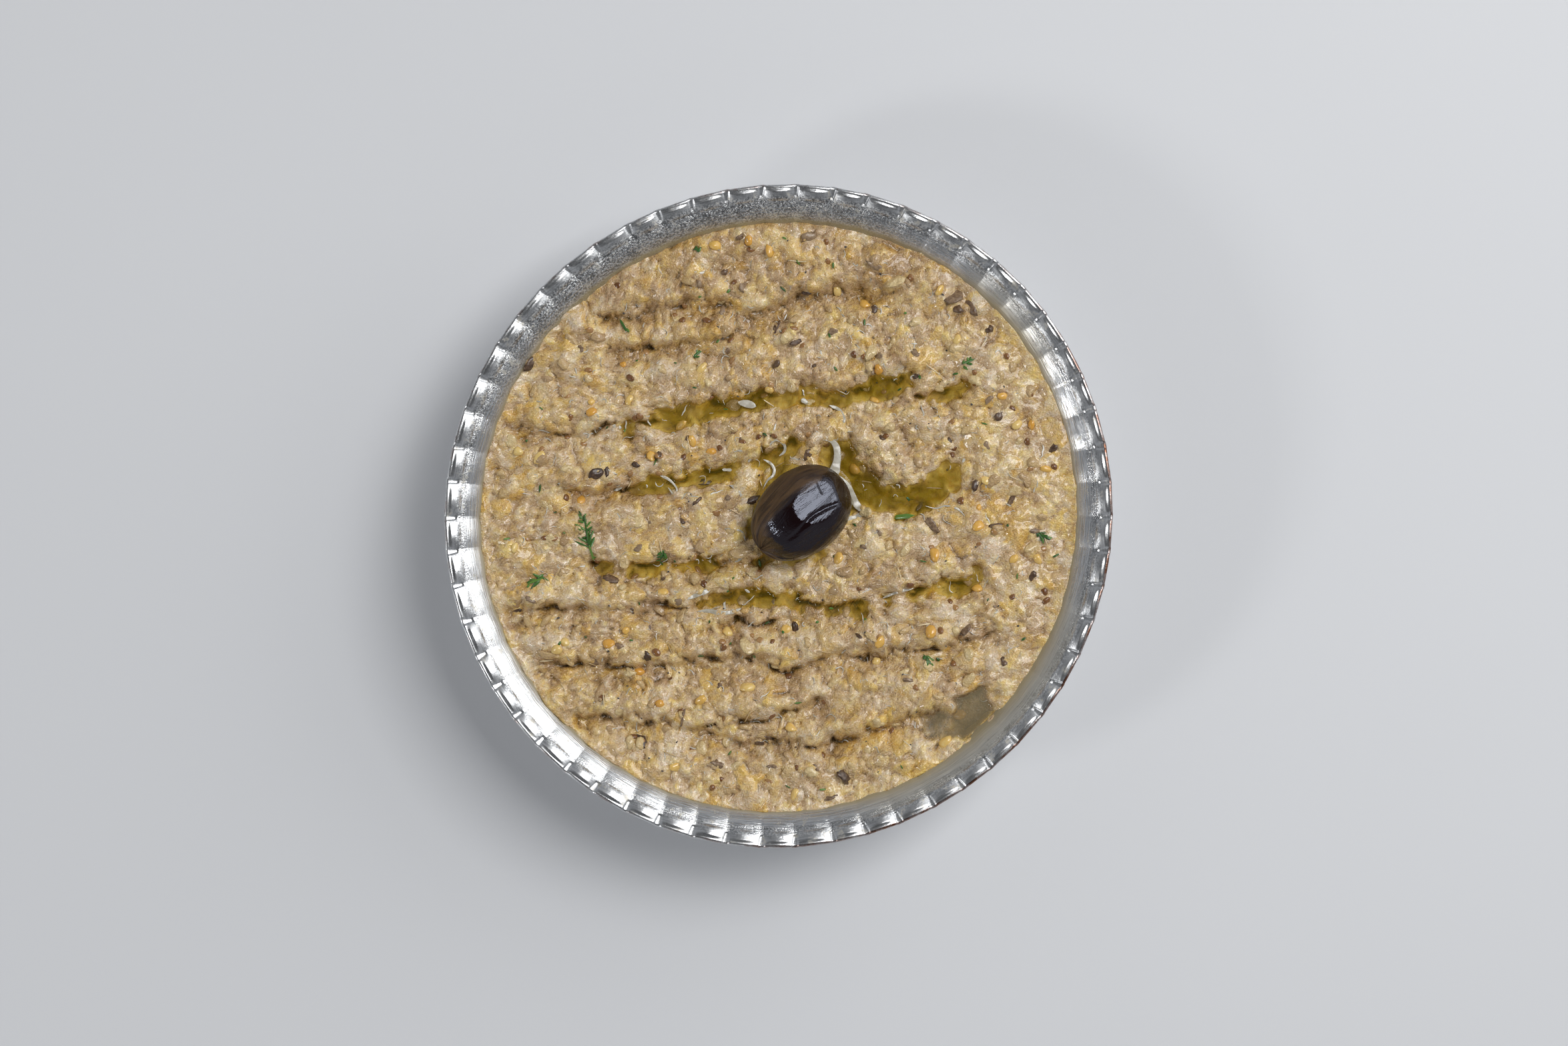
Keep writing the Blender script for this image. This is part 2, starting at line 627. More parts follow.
# %% The furrows
FURROWS = {
    # name: (line, depth, width of the steep side, width of the gentle side)
    "far": (
        [(-44, 43.5), (-24, 46.5), (-14, 47.5), (-4, 45), (5, 49), (15, 50.5), (23, 49.5), (30, 52)],
        3.3, 1.3, 3.8,
    ),
    "far_branch": (
        [(-41, 36.5), (-36, 37.5), (-22, 38.5), (-14, 40), (-6, 43.5), (2, 45)],
        2.8, 1.2, 3.2,
    ),
    "oiled_left": ([(-61, 19), (-50, 18.5), (-42, 19), (-36, 20.5)], 1.5, 0.9, 2.2),
    "oiled": (
        [(-39, 19.5), (-31, 21.5), (-22, 23), (-14, 25), (-4, 27), (8, 27.5), (18, 28),
         (28, 31), (34, 33.5)],
        3.1, 1.4, 3.4,
    ),
    "oiled_end": ([(30, 27), (37.5, 28), (44, 30)], 2.4, 1.2, 2.4),
    "upper": (
        [(-53, 5), (-35.5, 5), (-28, 7.5), (-18, 9), (-8, 11.5), (0, 14.5), (8, 17.5)],
        2.7, 1.3, 3.2,
    ),
    "left": (
        [(-45, -11.5), (-38, -12), (-28, -11.5), (-16, -11), (-9, -10.5), (-2, -10.5)],
        2.4, 1.1, 2.8,
    ),
    "left_edge": ([(-64, -21.5), (-46, -21.5), (-30, -21), (-19, -20.5)], 1.9, 1.0, 2.6),
    "lower": ([(-22, -20.5), (-14, -18.5), (-8, -18), (-1, -18), (12, -20.5), (22, -21)], 2.9, 1.2, 3.2),
    "lower_second": ([(-15, -24), (-3, -24.5), (7, -22.5), (20, -22)], 2.2, 1.0, 2.6),
    "lower_right": ([(22, -19), (32, -17.5), (41, -15.5), (47, -11.5)], 2.8, 1.3, 3.0),
    "near": (
        [(-60, -32.5), (-40, -34.5), (-19, -34), (-10, -32.5), (1, -35.5), (12, -32.5),
         (26, -31.5), (37, -30), (45, -29), (52, -25.5)],
        2.5, 1.1, 3.6,
    ),
    "nearer": (
        [(-50, -45.5), (-34, -46.5), (-22, -48.5), (-12, -47.5), (-2, -46), (13, -41.5)],
        2.6, 1.1, 3.4,
    ),
    "nearest": (
        [(-23, -49), (-5, -52), (8, -52), (18, -50.5), (26, -47.5), (33, -46), (41, -43.5)],
        3.4, 1.2, 3.6,
    ),
}
EAST_BEND = [(13, 14), (17, 9), (21.5, 5), (26.5, 2.8), (31, 3.6), (35.5, 7), (39, 9.8)]
JUICE_POCKET = ((43.6, -44.6), 8.6, 4.6, 40)
OLIVE_AXES = (12.1, 9.5)
OLIVE_TURN = math.radians(41)


def furrow_cuts(x, y, lumps):
    """(cut, slit, lip): a bell with two widths, narrower beside lumps, a tear, and the roll beyond."""
    x = x + 0.9 * swell(x, y, 4.2, 61) + 0.45 * swell(x, y, 1.7, 62)
    y = y + 1.1 * swell(x, y, 5.6, 63) + 0.5 * swell(x, y, 2.1, 64)
    cut, slit, lip = np.zeros_like(x), np.zeros_like(x), np.zeros_like(x)
    uneven = 0.85 + 0.35 * swell(x, y, 7.0, 65)
    torn = step(-0.10, 0.45, swell(x, y, 5.5, 66))
    for line, depth, steep, gentle in FURROWS.values():
        distance, share = beside(x, y, line)
        ends = step(0, 0.09, share) * step(1, 0.91, share)
        width = np.where(distance > 0, 1.25 * steep, 1.3 * gentle)
        off = np.clip(np.abs(distance) + 0.8 * (lumps - 0.8), 0, None)
        cut = np.maximum(cut, ends * uneven * 1.15 * depth * np.exp(-(off / width) ** 2))
        tear = (distance - 0.3 + 0.6 * (lumps - 0.8)) / 0.5
        slit = np.maximum(slit, ends * torn * np.exp(-tear ** 2))
        lip = np.maximum(lip, ends * np.exp(-((distance - 3.0 * steep) / 1.9) ** 2))
    return cut, slit, lip


def olive_floor(x, y):
    """The height of an ellipsoid's lower half under the olive, and far above where there is none."""
    q = oval(x, y, OLIVE_PLACE[:2], *OLIVE_AXES, math.degrees(OLIVE_TURN))
    under = OLIVE_PLACE[2] - OLIVE_AXES[1] * np.sqrt(np.clip(1 - q ** 2, 0, 1))
    return np.where(q < 1, under, 99.0), q

# %% [markdown]
# Olive oil was poured over the middle, and it has run together in the furrows. Each pool stands
# level, so all it needs is a line, a half width and how far its level lies below the dip's. The
# dip's own colour will need the depth of the oil over it, so the pools come before the surface.

# %% Pools of oil and juice
POOLS = [
    # (line through the pool, half width, how far its level lies below the dip's)
    (
        [(-35, 20.5), (-31, 21.5), (-22, 23), (-14, 25), (-4, 27), (8, 27.5), (18, 28),
         (28, 31), (33, 33)],
        1.9, 1.25,
    ),
    ([(34, 28), (41, 29.5)], 1.6, 1.30),
    ([(-30, 7), (-18, 9), (-8, 11.5), (0, 14.5), (6, 16.5)], 1.5, 1.35),
    ([(2, 18), (12, 19), (15, 13), (16, 6)], 2.4, 0.95),
    ([(-38, -12), (-28, -11.5), (-17, -11)], 1.4, 1.50),
    (EAST_BEND, 3.1, 0.92),
    ([(-19, -20), (-13, -18.5), (-8, -18), (-1, -18), (10, -20.3), (19, -21)], 1.6, 1.40),
    ([(26, -18.5), (34, -17), (41, -15.5), (45, -12.8)], 1.6, 1.40),
]
JUICE_LEVEL = DIP_LEVEL - 1.0


def oil_level(x, y):
    """The height at which oil would stand: the highest of the pools' levels, which fall off outside."""
    level = np.full(x.shape, -99.0)
    for line, half_width, drop in POOLS:
        distance, _ = beside(x, y, line)
        beyond = np.clip(np.abs(distance) - half_width, 0, None)
        level = np.maximum(level, DIP_LEVEL - drop - 0.5 * beyond ** 1.3)
    _, q = olive_floor(x, y)
    near = np.clip((q - 0.93) * 10.5, 0, None)
    level = np.maximum(level, DIP_LEVEL - 0.35 - 0.35 * near ** 1.2)
    return level + 1.1 * np.exp(-near / 0.55)


def juice_level(x, y):
    """The height of the clear juice in its pocket by the wall."""
    return JUICE_LEVEL - 4 * np.clip(oval(x, y, *JUICE_POCKET) - 1.2, 0, None)

# %% [markdown]
# On the ridges the mash shows its lumps: domes of three sizes, pressed into one another. Towards
# the right-hand wall the spoon has smoothed it, so the lumps are lower there. The same function
# gives the numbers that the dip's colour will need.

# %% The dip's surface
# millimetres: the depths of the east pool's bed, the juice's pocket and a tear, and a sag by the wall
EAST_DEPTH, POCKET_DEPTH, TEAR_DEPTH, WALL_SAG = 3.0, 3.3, 1.9, 1.3


def dip_surface(x, y):
    """The height of the dip, and a number for each thing that its colour depends on."""
    radius = np.hypot(x, y)
    wx = x + 1.3 * swell(x, y, 3.4, 74) + 0.5 * swell(x, y, 1.3, 75)
    wy = y + 1.3 * swell(x, y, 3.6, 76) + 0.5 * swell(x, y, 1.4, 77)
    big, big_number = pebbles(wx, wy, 5.0, 81, 0.8, 1.6, 3.3, 1.8)
    mid, mid_number = pebbles(wx + 3, wy + 1, 2.6, 91, 0.85, 0.8, 1.6, 1.9)
    small, small_number = pebbles(x + 7, y + 2, 1.45, 101, 0.75, 0.4, 0.8, 1.8)
    big, mid = 0.52 * big, 0.66 * mid + 0.15
    lumps = np.maximum(big, mid) + 0.36 * small
    cut, slit, lip = furrow_cuts(x, y, lumps)
    east = step(44, 54, x + 2.5 * swell(x, y, 9.0, 71)) * step(75, 60, np.abs(y) + 8)
    off, _ = beside(x + 1.2 * swell(x, y, 3.0, 72), y + 1.2 * swell(x, y, 3.0, 79), EAST_BEND)
    pool = np.exp(-((np.abs(off) + 0.8 * (lumps - 0.8)).clip(0) / 3.7) ** 2.4)
    pocket = 1 - step(0.35, 1.15, oval(x, y, *JUICE_POCKET) + 0.45 * swell(x, y, 3.6, 73))
    cut = np.maximum(cut, np.maximum(EAST_DEPTH * pool, POCKET_DEPTH * pocket))
    calm = np.clip(0.65 * east + cut / 5.0, 0, 1)
    rolls = 1.15 * swell(x * 0.5, y, 6.5, 111) + 0.45 * swell(x * 0.7, y, 3.0, 112)
    folds = np.clip(1 - np.abs(swell(wx, wy, 4.4, 116)) / 0.14, 0, 1) ** 1.5
    folds = folds * step(-0.1, 0.4, swell(x, y, 9.0, 117))
    height = DIP_LEVEL - 0.2 + 0.35 * step(67, 60, radius) + 0.55 * lip - cut
    mash = rolls + 1.1 * (lumps - 0.8) - 0.5 * folds
    height = height + (1 - 0.6 * calm) * mash + 0.3 * swell(x, y, 14, 114)
    height = height - TEAR_DEPTH * slit * (1 - calm * 0.5)
    wall = step(64.5, 67.2, radius)
    shore = DIP_LEVEL + 0.25 + 0.35 * swell(x, y, 5.0, 115)
    shore = shore - WALL_SAG * facing(np.arctan2(y, x), 97, 0.70)
    height = height * (1 - 0.8 * wall) + 0.8 * wall * shore
    under, q = olive_floor(x, y)
    height = height - 1.1 * step(1.45, 1.0, q) * step(0.6, 1.0, q)
    height = np.minimum(height, under + 0.25)
    patch = swells(x, y, 6.0, 121)
    greyness = patch + 0.5 * (mid_number - 0.5) + 0.45 * step(42, 56, y) - 0.45 * step(-34, -54, y)
    lump = np.where(big > mid, big_number, mid_number)
    numbers = {
        "lump": lump,
        "hue": (lump * 37.7) % 1,
        "crumb": small_number,
        "warm": 0.5 + 0.5 * swells(x, y, 9.0, 122),
        "grey": step(0.0, 0.6, greyness),
        "furrow": np.clip(cut / 3, 0, 1),
        "slit": slit + 0.5 * folds,
        "pocket": pocket,
        "oiled": np.clip(oil_level(x, y) - height, 0, 2),
    }
    return height, numbers

# %% [markdown]
# ### From a square to a disc
#
# A round surface drawn as rings and spokes has a pole in its middle, where the faces shrink and
# pinch. A square grid pulled into a disc has no pole: each square ring becomes a round one. The
# skirt then follows the bowl's inside down to a flat bottom, so the dip is a closed body.

# %% The dip's mesh
def disc(count):
    """x and y of a square grid pulled into a disc of radius 1: the larger coordinate is the radius."""
    line = np.linspace(-1, 1, count)
    a, b = np.meshgrid(line, line)
    wide = np.abs(a) > np.abs(b)
    radius = np.where(wide, a, b)
    safe = np.where(radius == 0, 1, radius)
    angle = np.where(wide, b / safe, 2 - a / safe) * math.pi / 4
    return radius * np.cos(angle), radius * np.sin(angle)


def border(count):
    """The numbers of the grid's outer points, once round and counterclockwise."""
    side = np.arange(count - 1)
    last = count - 1
    return np.concatenate([side, side * count + last, last * count + last - side, (last - side) * count])


def wall_radius(height):
    """The radius of the bowl's inside at a height above its waist, from the lip's arc."""
    rise = np.clip((height - WAIST_HEIGHT) / LIP_RADIUS, 0, 1)
    return WAIST_RADIUS + LIP_RADIUS * (1 - np.sqrt(1 - rise ** 2))


def sunken(height, count):
    """How far each point lies below the mean of the points within two, and within five, steps of it."""
    grid = height.reshape(count, count)
    total = np.zeros_like(grid)
    for reach, share in ((2, 0.6), (5, 0.4)):
        padded = np.pad(grid, reach, mode="edge")
        sums = np.pad(np.cumsum(np.cumsum(padded, 0), 1), ((1, 0), (1, 0)))
        w = 2 * reach + 1
        total += share * (sums[w:, w:] - sums[:-w, w:] - sums[w:, :-w] + sums[:-w, :-w]) / w ** 2
    return (total - grid).ravel()


def make_dip(finish, count=300):
    """The grid pulled out to the wall, lifted by the surface function, with a skirt and a bottom."""
    x, y = (values.ravel() for values in disc(count))
    angle = np.arctan2(y, x)
    reach = wall_radius(DIP_LEVEL + 0.3) + out_of_round(angle, DIP_LEVEL)
    x, y = x * reach, y * reach
    height, numbers = dip_surface(x, y)
    rim = border(count)
    rim_angle = angle[rim]
    tops = height[rim]
    edge = wall_radius(tops) + out_of_round(rim_angle, tops) + 0.05
    x[rim], y[rim] = edge * np.cos(rim_angle), edge * np.sin(rim_angle)
    levels = [tops - drop for drop in (1.2, 4.0)]
    rings = [(wall_radius(down) + out_of_round(rim_angle, down) - 0.3, down) for down in levels]
    for turn in np.radians([0, 25, 50, 75, 90]):
        radius, level = belly(turn, 0.35)
        rings.append((radius + out_of_round(rim_angle, level + 0 * rim_angle), level + 0 * rim_angle))
    skirt = [np.stack([r * np.cos(rim_angle), r * np.sin(rim_angle), z], 1) for r, z in rings]
    points = np.concatenate([np.stack([x, y, height], 1), *skirt, [[0, 0, skirt[-1][0, 2]]]])
    n = len(rim)
    loops = [rim] + [count ** 2 + k * n + np.arange(n) for k in range(len(rings))]
    following = [np.roll(loop, -1) for loop in loops]
    sides = [
        np.stack([upper, lower, lower_next, upper_next], 1)
        for upper, lower, upper_next, lower_next in zip(loops, loops[1:], following, following[1:])
    ]
    bottom = np.stack([np.full(n, len(points) - 1), following[-1], loops[-1]], 1)
    attributes = {**numbers, "sunken": sunken(height, count)}
    extra = len(points) - count ** 2
    for label, values in attributes.items():
        attributes[label] = np.append(values, np.full(extra, values.mean()))
    grid = sheet_faces(count, count)
    return make_piece("baba_ganoush", points, [grid, *sides, bottom], finish, attributes)

# %% [markdown]
# ### The colour of roasted aubergine
#
# The flesh is a warm beige. Lumps of it are creamier or more golden, some patches are grey-brown
# where skin and smoke coloured them, and the juice makes everything darker in the hollows. So one
# number, the tone, is summed from patterns of four sizes and from how deep a point lies, and a
# ramp of colours turns it into flesh. Every bit is wet, so a thin clear coat lies over it. Under
# the oil the patterns are calmer and the coat is left out, because the oil is what shines there.

# %% The finish of the dip
def mash():
    """Flesh whose tone is 0.81 plus its patterns, less what the hollows, tears and furrows take."""
    dip = Finish(
        "dip", Coat_Roughness=0.07, Coat_IOR=1.42, Subsurface_Weight=0.06, Subsurface_Scale=0.0015
    )
    grain = dip.noise(0.36, detail=1.0)
    fine = dip.noise(0.9, detail=1.5, warp=0.8)
    mottle = dip.noise(2.4, detail=2.0, warp=0.5)
    strand = dip.noise(1.7, detail=1.0, warp=1.8)
    lump, crumb, warm = dip.attribute("lump"), dip.attribute("crumb"), dip.attribute("warm")
    grey, furrow, slit = dip.attribute("grey"), dip.attribute("furrow"), dip.attribute("slit")
    sunk, hue = dip.attribute("sunken"), dip.attribute("hue")
    oiled = dip.attribute("oiled")
    oily = oiled.ramp(0.0, 1.5)
    thread = 1 - (strand - 0.5).math("ABSOLUTE") * 16
    thread = thread.clamped() ** 2
    still = 1 - oiled.ramp(0.0, 0.4) * 0.6
    mixed = (lump - 0.5) * 0.26 + (crumb - 0.5) * 0.14 + (mottle - 0.5) * 0.34 + (fine - 0.5) * 0.28
    tone = 0.81 + (mixed + (grain - 0.5) * 0.55 + thread * 0.06) * still
    tone = tone - grey * (0.08 + (mottle - 0.35).clamped() * 0.7)
    tone = tone - (sunk - 0.05).clamped() * 0.28 - slit * 0.34
    tone = tone - furrow * ((1 - fine) * 0.21) * (1 - oily * 0.7)
    stops = [
        (0.0, (0.10, 0.050, 0.006)),
        (0.22, (0.25, 0.145, 0.040)),
        (0.45, (0.50, 0.315, 0.130)),
        (0.68, (0.70, 0.49, 0.235)),
        (1.0, (0.90, 0.74, 0.47)),
    ]
    colour = dip.node("ShaderNodeValToRGB", {"stops": stops}, {0: tone})
    ripe = dip.noise(1.5, detail=1.5, warp=0.6)
    patch = dip.noise(5.0, detail=1.5, warp=0.5)
    yellow = 0.5 + (hue - 0.5) * 0.55 + (crumb - 0.5) * 0.30
    yellow = yellow + (ripe - 0.5) * 1.6 + (patch - 0.5) * 1.2 - grey * 0.15
    tint = dip.mix(yellow.clamped(), (0.975, 1.0, 1.20), (1.05, 0.97, 0.56))
    colour = dip.mix(1.0, colour, tint, "MULTIPLY")
    gold = (hue + (warm - 0.5) * 0.9 + (mottle - 0.5) * 0.5).ramp(0.80, 1.0)
    colour = dip.mix(gold * 0.5, colour, (1.0, 0.84, 0.42), "MULTIPLY")
    dusky = (grey * 0.7 + (0.35 - hue) * 0.9 + (fine - 0.5) * 0.7).clamped()
    colour = dip.mix(dusky * 0.5, colour, (0.82, 0.755, 0.77), "MULTIPLY")
    murky = (dip.attribute("pocket") * (0.3 + mottle)).clamped() * 0.45
    colour = dip.mix(murky, colour, (0.24, 0.21, 0.14))
    oil_tint = dip.mix(oiled.ramp(0.2, 2.0), (1.0, 0.93, 0.34), (0.56, 0.475, 0.01))
    colour = dip.mix(oiled.ramp(0.0, 0.25), colour, oil_tint, "MULTIPLY")
    wrinkles = ((fine * 0.50 + strand * 0.2 + grain * 0.28) * still).clamped()
    dip.feed(
        Base_Color=colour,
        Roughness=0.06 + fine * 0.14 + oily.ramp(0.0, 0.2) * 0.5,
        Coat_Weight=0.9 - oily.ramp(0.0, 0.2) * 0.9,
        Normal=dip.bump(wrinkles, 0.8),
    )
    return dip.material


dip = make_dip(mash())
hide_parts("dip")

# %% [markdown]
# ## The olive
#
# A dried black olive isn't an egg. Its skin has shrunk over the stone, so it has flat sides with
# soft edges, a fold along its back and fine wrinkles at its pointed end. A sphere is stretched to
# the olive's length and width, each flat side is pressed in with a soft plane, and the fold and
# the wrinkles are pressed in last. The round side of the sphere's grid runs round the olive's
# long axis, so its poles are the two ends.

# %% The olive's shape
FLAT_SIDES = [
    # (azimuth, tilt from upright, distance from the middle), in degrees and millimetres
    (36, 17, 8.7),
    (140, 50, 8.5),
    (300, 44, 8.9),
    (232, 62, 10.6),
    (20, 66, 10.9),
]


def soft(value, width):
    """0 well below 0, the value itself well above it, and rounded over that width between them."""
    return width * np.logaddexp(0, value / width)


def make_olive(finish, rows=121, columns=176):
    """x is a sine and the ring a cosine of the latitude, both squared up a little. Then the flat sides,
    the fold and the wrinkles push the points inwards."""
    latitude = np.linspace(-math.pi / 2, math.pi / 2, rows)[1:-1, None]
    round_it = (np.arange(columns) * TAU / columns)[None, :]
    ends = np.array([[-OLIVE_AXES[0], 0, 0], [OLIVE_AXES[0], 0, 0]])
    ring = np.cos(latitude) ** 0.86
    along = np.sin(latitude) + 0 * round_it
    fullness = 1.0 + 0.05 * along - 0.04 * along ** 2
    x = OLIVE_AXES[0] * along
    y = OLIVE_AXES[1] * ring * np.cos(round_it) * fullness
    z = OLIVE_AXES[1] * ring * np.sin(round_it) * fullness
    points = np.concatenate([np.stack([x, y, z], -1).reshape(-1, 3), ends])
    c, s = math.cos(OLIVE_TURN), math.sin(OLIVE_TURN)
    x, y, z = points.T
    turned = np.stack([x * c - y * s, x * s + y * c, z], 1)
    for azimuth, tilt, distance in FLAT_SIDES:
        a, t = math.radians(azimuth), math.radians(tilt)
        outwards = np.array([math.sin(t) * math.cos(a), math.sin(t) * math.sin(a), math.cos(t)])
        beyond = turned @ outwards - distance
        turned = turned - 0.92 * soft(beyond, 0.12)[:, None] * outwards
    length, width = turned[:, 0] * c + turned[:, 1] * s, turned[:, 1] * c - turned[:, 0] * s
    upper = step(-1, 4, turned[:, 2])
    fold_line = -2.6 - 0.10 * length + 0.55 * np.sin(length * 0.42 + 0.6)
    fold = np.exp(-((width - fold_line) / 0.42) ** 2) * step(-7.5, -4.5, length)
    fold = fold * step(9.5, 6.0, length) * upper
    ridge = np.exp(-((width - 3.4 + 0.05 * length) / 0.9) ** 2) * upper * step(9, 5, length)
    crease = np.exp(-((length - 6.6 - 0.3 * width) / 0.22) ** 2) * step(-0.5, 1.0, width)
    crease = crease * step(4.2, 2.6, width) * upper
    around = np.arctan2(turned[:, 2], width)
    pointed = step(-6.0, -11.5, length)
    wrinkles = pointed * 0.17 * np.sin(13 * around + 2.0 * swell(length, around * 4, 2.2, 131))
    lines = 0.05 * swell(length * 0.35, around * 9, 0.9, 132) * step(-0.2, 0.6, np.abs(width - 1.0) / 8)
    inwards = 0.34 * fold - 0.16 * ridge + 0.18 * crease + wrinkles + lines
    inwards = inwards + 0.10 * swell(length, around * 5, 4.0, 133)
    unit = turned / np.linalg.norm(turned, axis=1, keepdims=True)
    turned = turned - inwards[:, None] * unit
    glossy = step(3.9, 2.4, width + 0.5 * swell(length, width, 2.0, 134)) * step(-1.5, 3.5, turned[:, 2])
    glossy = glossy * step(-10.5, -7.5, length - 0.35 * width)
    body = (rows - 2) * columns
    faces = capped_faces(rows - 2, columns, body, body + 1)
    numbers = {"glossy": glossy, "length": length, "around": around * 6}
    return make_piece("black_olive", turned + OLIVE_PLACE, faces, finish, numbers)

# %% [markdown]
# Where oil has run over it the skin mirrors the window like black glass. Elsewhere it is dull, with
# brown fibres that run along the olive, so the fibres are noise on the length and the angle.

# %% The finish of the olive
def olive_skin():
    """A dark skin: glossy where the glossy attribute is 1, and dull with brown fibres where it is 0."""
    skin = Finish("olive_skin", Specular_IOR_Level=0.55, Specular_Tint=(0.78, 0.84, 1.0, 1.0))
    glossy = skin.attribute("glossy")
    across = {"X": skin.attribute("length") * 0.05, "Y": skin.attribute("around") * 0.5, "Z": 0.0}
    plane = skin.node("ShaderNodeCombineXYZ", {}, across)
    fibre = skin.node(
        "ShaderNodeTexNoise", {},
        {"Vector": plane, "Scale": 1.6, "Detail": 4.0, "Roughness": 0.6, "Distortion": 0.8}, "Fac",
    )
    pits = skin.noise(0.5, detail=2.0)
    dull = 1 - glossy
    brown = skin.mix(fibre.ramp(0.36, 0.68), (0.014, 0.006, 0.004), (0.14, 0.078, 0.030))
    skin.feed(
        Base_Color=skin.mix(glossy, brown, (0.0085, 0.0024, 0.0024)),
        Roughness=0.035 + dull * (0.26 + 0.2 * fibre),
        Normal=skin.bump(fibre * 0.8 + pits * 0.2, 0.22),
    )
    return skin.material


olive = make_olive(olive_skin())
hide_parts("olive")

# %% [markdown]
# ## Oil and juice
#
# Oil lies level, but at its edge it climbs a little up whatever it touches, and that curved rim is
# what catches the light in thin white lines. So the oil's surface is a rounded maximum of two
# heights: its own level and the dip below. Where the dip stands well above the level the film has
# no thickness and the sheet is cut. The underside lies just inside the dip, which closes the body.

# %% Films of oil and juice
def fluid(name, level_at, low, high, finish, spacing=0.4, climb=0.22, thinnest=0.05):
    """A closed film: climb times the log of a sum of exponentials of both heights, cut where thin."""
    x, y = np.meshgrid(np.arange(low[0], high[0], spacing), np.arange(low[1], high[1], spacing))
    rows, columns = x.shape
    x, y = x.ravel(), y.ravel()
    dip_height, _ = dip_surface(x, y)
    top = climb * np.logaddexp(level_at(x, y) / climb, dip_height / climb)
    thick = top - dip_height
    wet = thick > thinnest
    _, q = olive_floor(x, y)
    wet &= q > 0.80
    faces = sheet_faces(rows, columns)
    faces = faces[wet[faces].all(1)]
    edges = np.stack([faces, np.roll(faces, -1, 1)], -1).reshape(-1, 2)
    low_end, high_end = edges.min(1), edges.max(1)
    edge_number = low_end * (rows * columns) + high_end
    _, first, count = np.unique(edge_number, return_index=True, return_counts=True)
    border_edges = edges[first[count == 1]]
    used = np.unique(faces)
    renumber = np.zeros(rows * columns, int)
    renumber[used] = np.arange(len(used))
    faces, border_edges = renumber[faces], renumber[border_edges]
    n = len(used)
    points = np.concatenate([
        np.stack([x[used], y[used], top[used]], 1),
        np.stack([x[used], y[used], dip_height[used] - 0.12], 1),
    ])
    a, b = border_edges.T
    sides = np.stack([b, a, a + n, b + n], 1)
    depth = np.tile(thick[used], 2)
    return make_piece(name, points, [faces, faces[:, ::-1] + n, sides], finish, {"depth": depth})

# %% [markdown]
# Thin oil hardly shows: it only makes the dip look wet. Deep oil is dark, green-gold and clear. A
# glass shader would need many light paths under a film this thin, so the film is a glossy surface
# whose alpha and colour both follow its depth.

# %% The finish of oil and juice
def clear_fluid(name, thin_colour, deep_colour, deep_at, cover):
    """A wet surface that hides more of what is below it, and darkens, as its depth attribute grows."""
    film = Finish(name, Roughness=0.025, Specular_IOR_Level=0.8, IOR=1.47)
    depth = film.attribute("depth")
    cloud = film.noise(3.0, detail=1.0, warp=1.0)
    share = (depth * (0.6 + cloud * 0.8)).ramp(0.1, deep_at)
    film.feed(
        Base_Color=film.mix(share, thin_colour, deep_colour),
        Alpha=depth.ramp(0.03, 0.14) * (0.07 + (cover - 0.07) * share),
    )
    return film.material


oil_finish = clear_fluid("olive_oil", (0.34, 0.26, 0.04), (0.22, 0.155, 0.005), 2.0, 0.28)
oil = fluid("olive_oil", oil_level, (-46, -30), (50, 38), oil_finish)
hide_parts(*[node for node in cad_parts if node.startswith("oil_")])
juice_finish = clear_fluid("dip_juice", (0.46, 0.39, 0.25), (0.23, 0.19, 0.11), 2.4, 0.68)
juice = fluid("aubergine_juice", juice_level, (32, -55), (55, -34), juice_finish)
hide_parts("juice_pocket")

# %% [markdown]
# Where the oil's curved edge leans towards the window it mirrors it, as a flat white ribbon. The
# film's grid is too coarse for that. So those edges are ribbons of oil of their own: each follows
# a line, and its top is a plane that leans towards the window by half the window's distance from
# the zenith.

